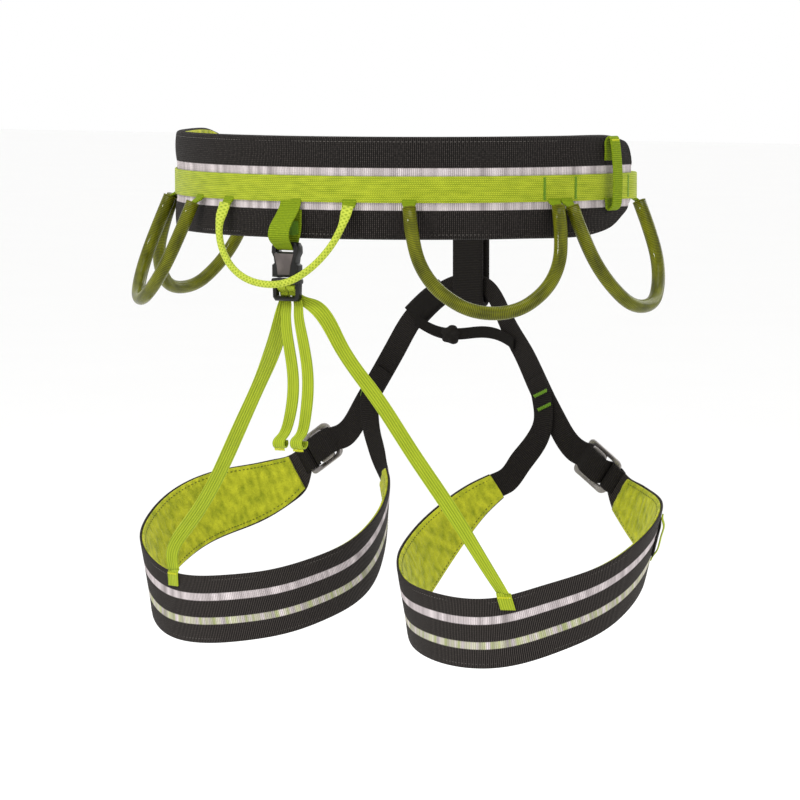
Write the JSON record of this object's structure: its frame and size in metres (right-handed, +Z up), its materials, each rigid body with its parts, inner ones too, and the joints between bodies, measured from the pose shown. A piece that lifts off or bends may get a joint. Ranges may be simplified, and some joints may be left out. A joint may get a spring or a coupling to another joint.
{
  "type": "climbing harness",
  "caption": "Lightweight sport climbing harness with padded waist belt, adjustable leg loops, moulded gear loops and a belay loop.",
  "frame": {"origin": "centre of the waist opening at the belt's mid height", "axes": "+X to the wearer's right, +Y to the wearer's front, +Z up, with the harness hanging as worn"},
  "size_m": [0.3872, 0.2506, 0.3415],
  "materials": {
    "black_band": "woven",
    "green_webbing": "woven",
    "black_webbing": "ribbed",
    "liner_mesh": "dimpled mesh",
    "foam": "foam",
    "lime_elastic": "ribbed elastic",
    "lime_cord": "braided",
    "tube_clear": "glossy",
    "tube_core": "ribbed",
    "buckle_plastic": "satin",
    "buckle_metal": "satin anodised"
  },
  "bodies": {
    "root": {"belt_band": "black_band", "belt_foam": "foam", "belt_liner": "liner_mesh", "waist_webbing": "green_webbing", "waist_webbing_tail": "green_webbing", "waist_buckle_frame": "buckle_metal", "waist_tail_keeper": "black_webbing", "tie_in_loop": "black_webbing", "gear_tabs_rear_right": "green_webbing", "gear_tabs_front_right": "green_webbing", "gear_tabs_rear_left": "green_webbing", "gear_tabs_front_left": "green_webbing", "haul_loop_tabs": "green_webbing", "clip_slot_right": "green_webbing", "clip_slot_left": "green_webbing", "riser_anchor": "green_webbing", "rear_buckle_plug": "buckle_plastic", "elastic_riser_right": "lime_elastic", "elastic_riser_left": "lime_elastic", "bridge_webbing": "black_webbing", "bridge_sleeve": "black_webbing", "bridge_keeper_strap": "black_webbing"},
    "waist_slider": {"waist_buckle_slider": "buckle_metal"},
    "belay": {"belay_loop": "black_webbing"},
    "haul": {"haul_loop": "lime_cord"},
    "rear_socket": {"rear_buckle_socket": "buckle_plastic"},
    "prong_right": {"rear_prong_right": "buckle_plastic"},
    "prong_left": {"rear_prong_left": "buckle_plastic"},
    "tail_right": {"riser_tail_right": "lime_elastic"},
    "tail_left": {"riser_tail_left": "lime_elastic"},
    "bridge_slider": {"bridge_keeper_slider": "buckle_plastic"},
    "gear_rear_right": {"gear_tube_rear_right": "tube_clear", "gear_core_rear_right": "tube_core"},
    "gear_front_right": {"gear_tube_front_right": "tube_clear", "gear_core_front_right": "tube_core"},
    "gear_rear_left": {"gear_tube_rear_left": "tube_clear", "gear_core_rear_left": "tube_core"},
    "gear_front_left": {"gear_tube_front_left": "tube_clear", "gear_core_front_left": "tube_core"},
    "leg_right": {"leg_band_right": "black_band", "leg_liner_right": "liner_mesh", "leg_inner_strap_right": "black_webbing", "leg_outer_strap_right": "black_webbing", "leg_buckle_frame_right": "buckle_metal", "leg_tail_right": "black_webbing", "leg_tail_keeper_right": "green_webbing", "riser_hem_right": "lime_elastic"},
    "leg_bar_right": {"leg_buckle_bar_right": "buckle_metal"},
    "leg_left": {"leg_band_left": "black_band", "leg_liner_left": "liner_mesh", "leg_inner_strap_left": "black_webbing", "leg_outer_strap_left": "black_webbing", "leg_buckle_frame_left": "buckle_metal", "leg_tail_left": "black_webbing", "leg_tail_keeper_left": "green_webbing", "riser_hem_left": "lime_elastic"},
    "leg_bar_left": {"leg_buckle_bar_left": "buckle_metal"}
  },
  "joints": [
    {"name": "gear_loop_rear_right_swing", "type": "hinge", "parent": "root", "child": "gear_rear_right", "pos_m": [0.11831, -0.08943, -0.009], "axis": [-0.6887, -0.725, 0], "range_deg": [0, 55]},
    {"name": "gear_loop_front_right_swing", "type": "hinge", "parent": "root", "child": "gear_front_right", "pos_m": [0.15444, 0.00089, -0.009], "axis": [0.0381, -0.9993, 0], "range_deg": [0, 55]},
    {"name": "gear_loop_rear_left_swing", "type": "hinge", "parent": "root", "child": "gear_rear_left", "pos_m": [-0.11637, -0.09049, -0.009], "axis": [-0.6981, 0.716, 0], "range_deg": [0, 55]},
    {"name": "gear_loop_front_left_swing", "type": "hinge", "parent": "root", "child": "gear_front_left", "pos_m": [-0.15444, 0.00089, -0.009], "axis": [0.0381, 0.9993, 0], "range_deg": [0, 55]},
    {"name": "haul_loop_swing", "type": "hinge", "parent": "root", "child": "haul", "pos_m": [0, -0.13902, -0.0105], "axis": [-1, 0, 0], "range_deg": [0, 60]},
    {"name": "belay_loop_sway", "type": "hinge", "parent": "root", "child": "belay", "pos_m": [0, 0.0843, -0.006], "axis": [0, 1, 0], "range_deg": [-1.5, 1.5]},
    {"name": "leg_right_swing", "type": "hinge", "parent": "root", "child": "leg_right", "pos_m": [0.071, 0.067, -0.151], "axis": [1, 0, 0], "range_deg": [-25, 35], "stiffness_Nm_per_rad": 4, "deforming": ["elastic_riser_right"]},
    {"name": "leg_left_swing", "type": "hinge", "parent": "root", "child": "leg_left", "pos_m": [-0.071, 0.067, -0.151], "axis": [1, 0, 0], "range_deg": [-25, 35], "stiffness_Nm_per_rad": 4, "deforming": ["elastic_riser_left"]},
    {"name": "rear_buckle_release", "type": "slide", "parent": "root", "child": "rear_socket", "axis": [0, 0, 1], "range_m": [0, 0.012], "deforming": ["riser_anchor"]},
    {"name": "prong_right_press", "type": "hinge", "parent": "root", "child": "prong_right", "pos_m": [0.0114, -0.1465, -0.057], "axis": [0, -1, 0], "range_deg": [0, 7], "stiffness_Nm_per_rad": 0.05},
    {"name": "prong_left_press", "type": "hinge", "parent": "root", "child": "prong_left", "pos_m": [0.0006, -0.1465, -0.057], "axis": [0, 1, 0], "range_deg": [0, 7], "stiffness_Nm_per_rad": 0.05},
    {"name": "riser_tail_right_swing", "type": "hinge", "parent": "root", "child": "tail_right", "pos_m": [0.0119, -0.1438, -0.0723], "axis": [-1, 0, 0], "range_deg": [0, 28]},
    {"name": "riser_tail_left_swing", "type": "hinge", "parent": "root", "child": "tail_left", "pos_m": [0.0037, -0.1438, -0.0723], "axis": [-1, 0, 0], "range_deg": [0, 28]},
    {"name": "waist_slider_tilt", "type": "hinge", "parent": "root", "child": "waist_slider", "pos_m": [-0.11031, 0.06558, 0], "axis": [0, 0, 1], "range_deg": [0, 30]},
    {"name": "leg_bar_right_tilt", "type": "hinge", "parent": "leg_right", "child": "leg_bar_right", "pos_m": [0.11464, 0.065, -0.19234], "axis": [0.5708, 0, 0.8211], "range_deg": [0, 30]},
    {"name": "leg_bar_left_tilt", "type": "hinge", "parent": "leg_left", "child": "leg_bar_left", "pos_m": [-0.11464, 0.065, -0.19234], "axis": [0.5708, 0, -0.8211], "range_deg": [0, 30]},
    {"name": "bridge_slider_shift", "type": "slide", "parent": "root", "child": "bridge_slider", "axis": [0.9992, 0.04, 0], "range_m": [-0.003, 0.003]}
  ]
}
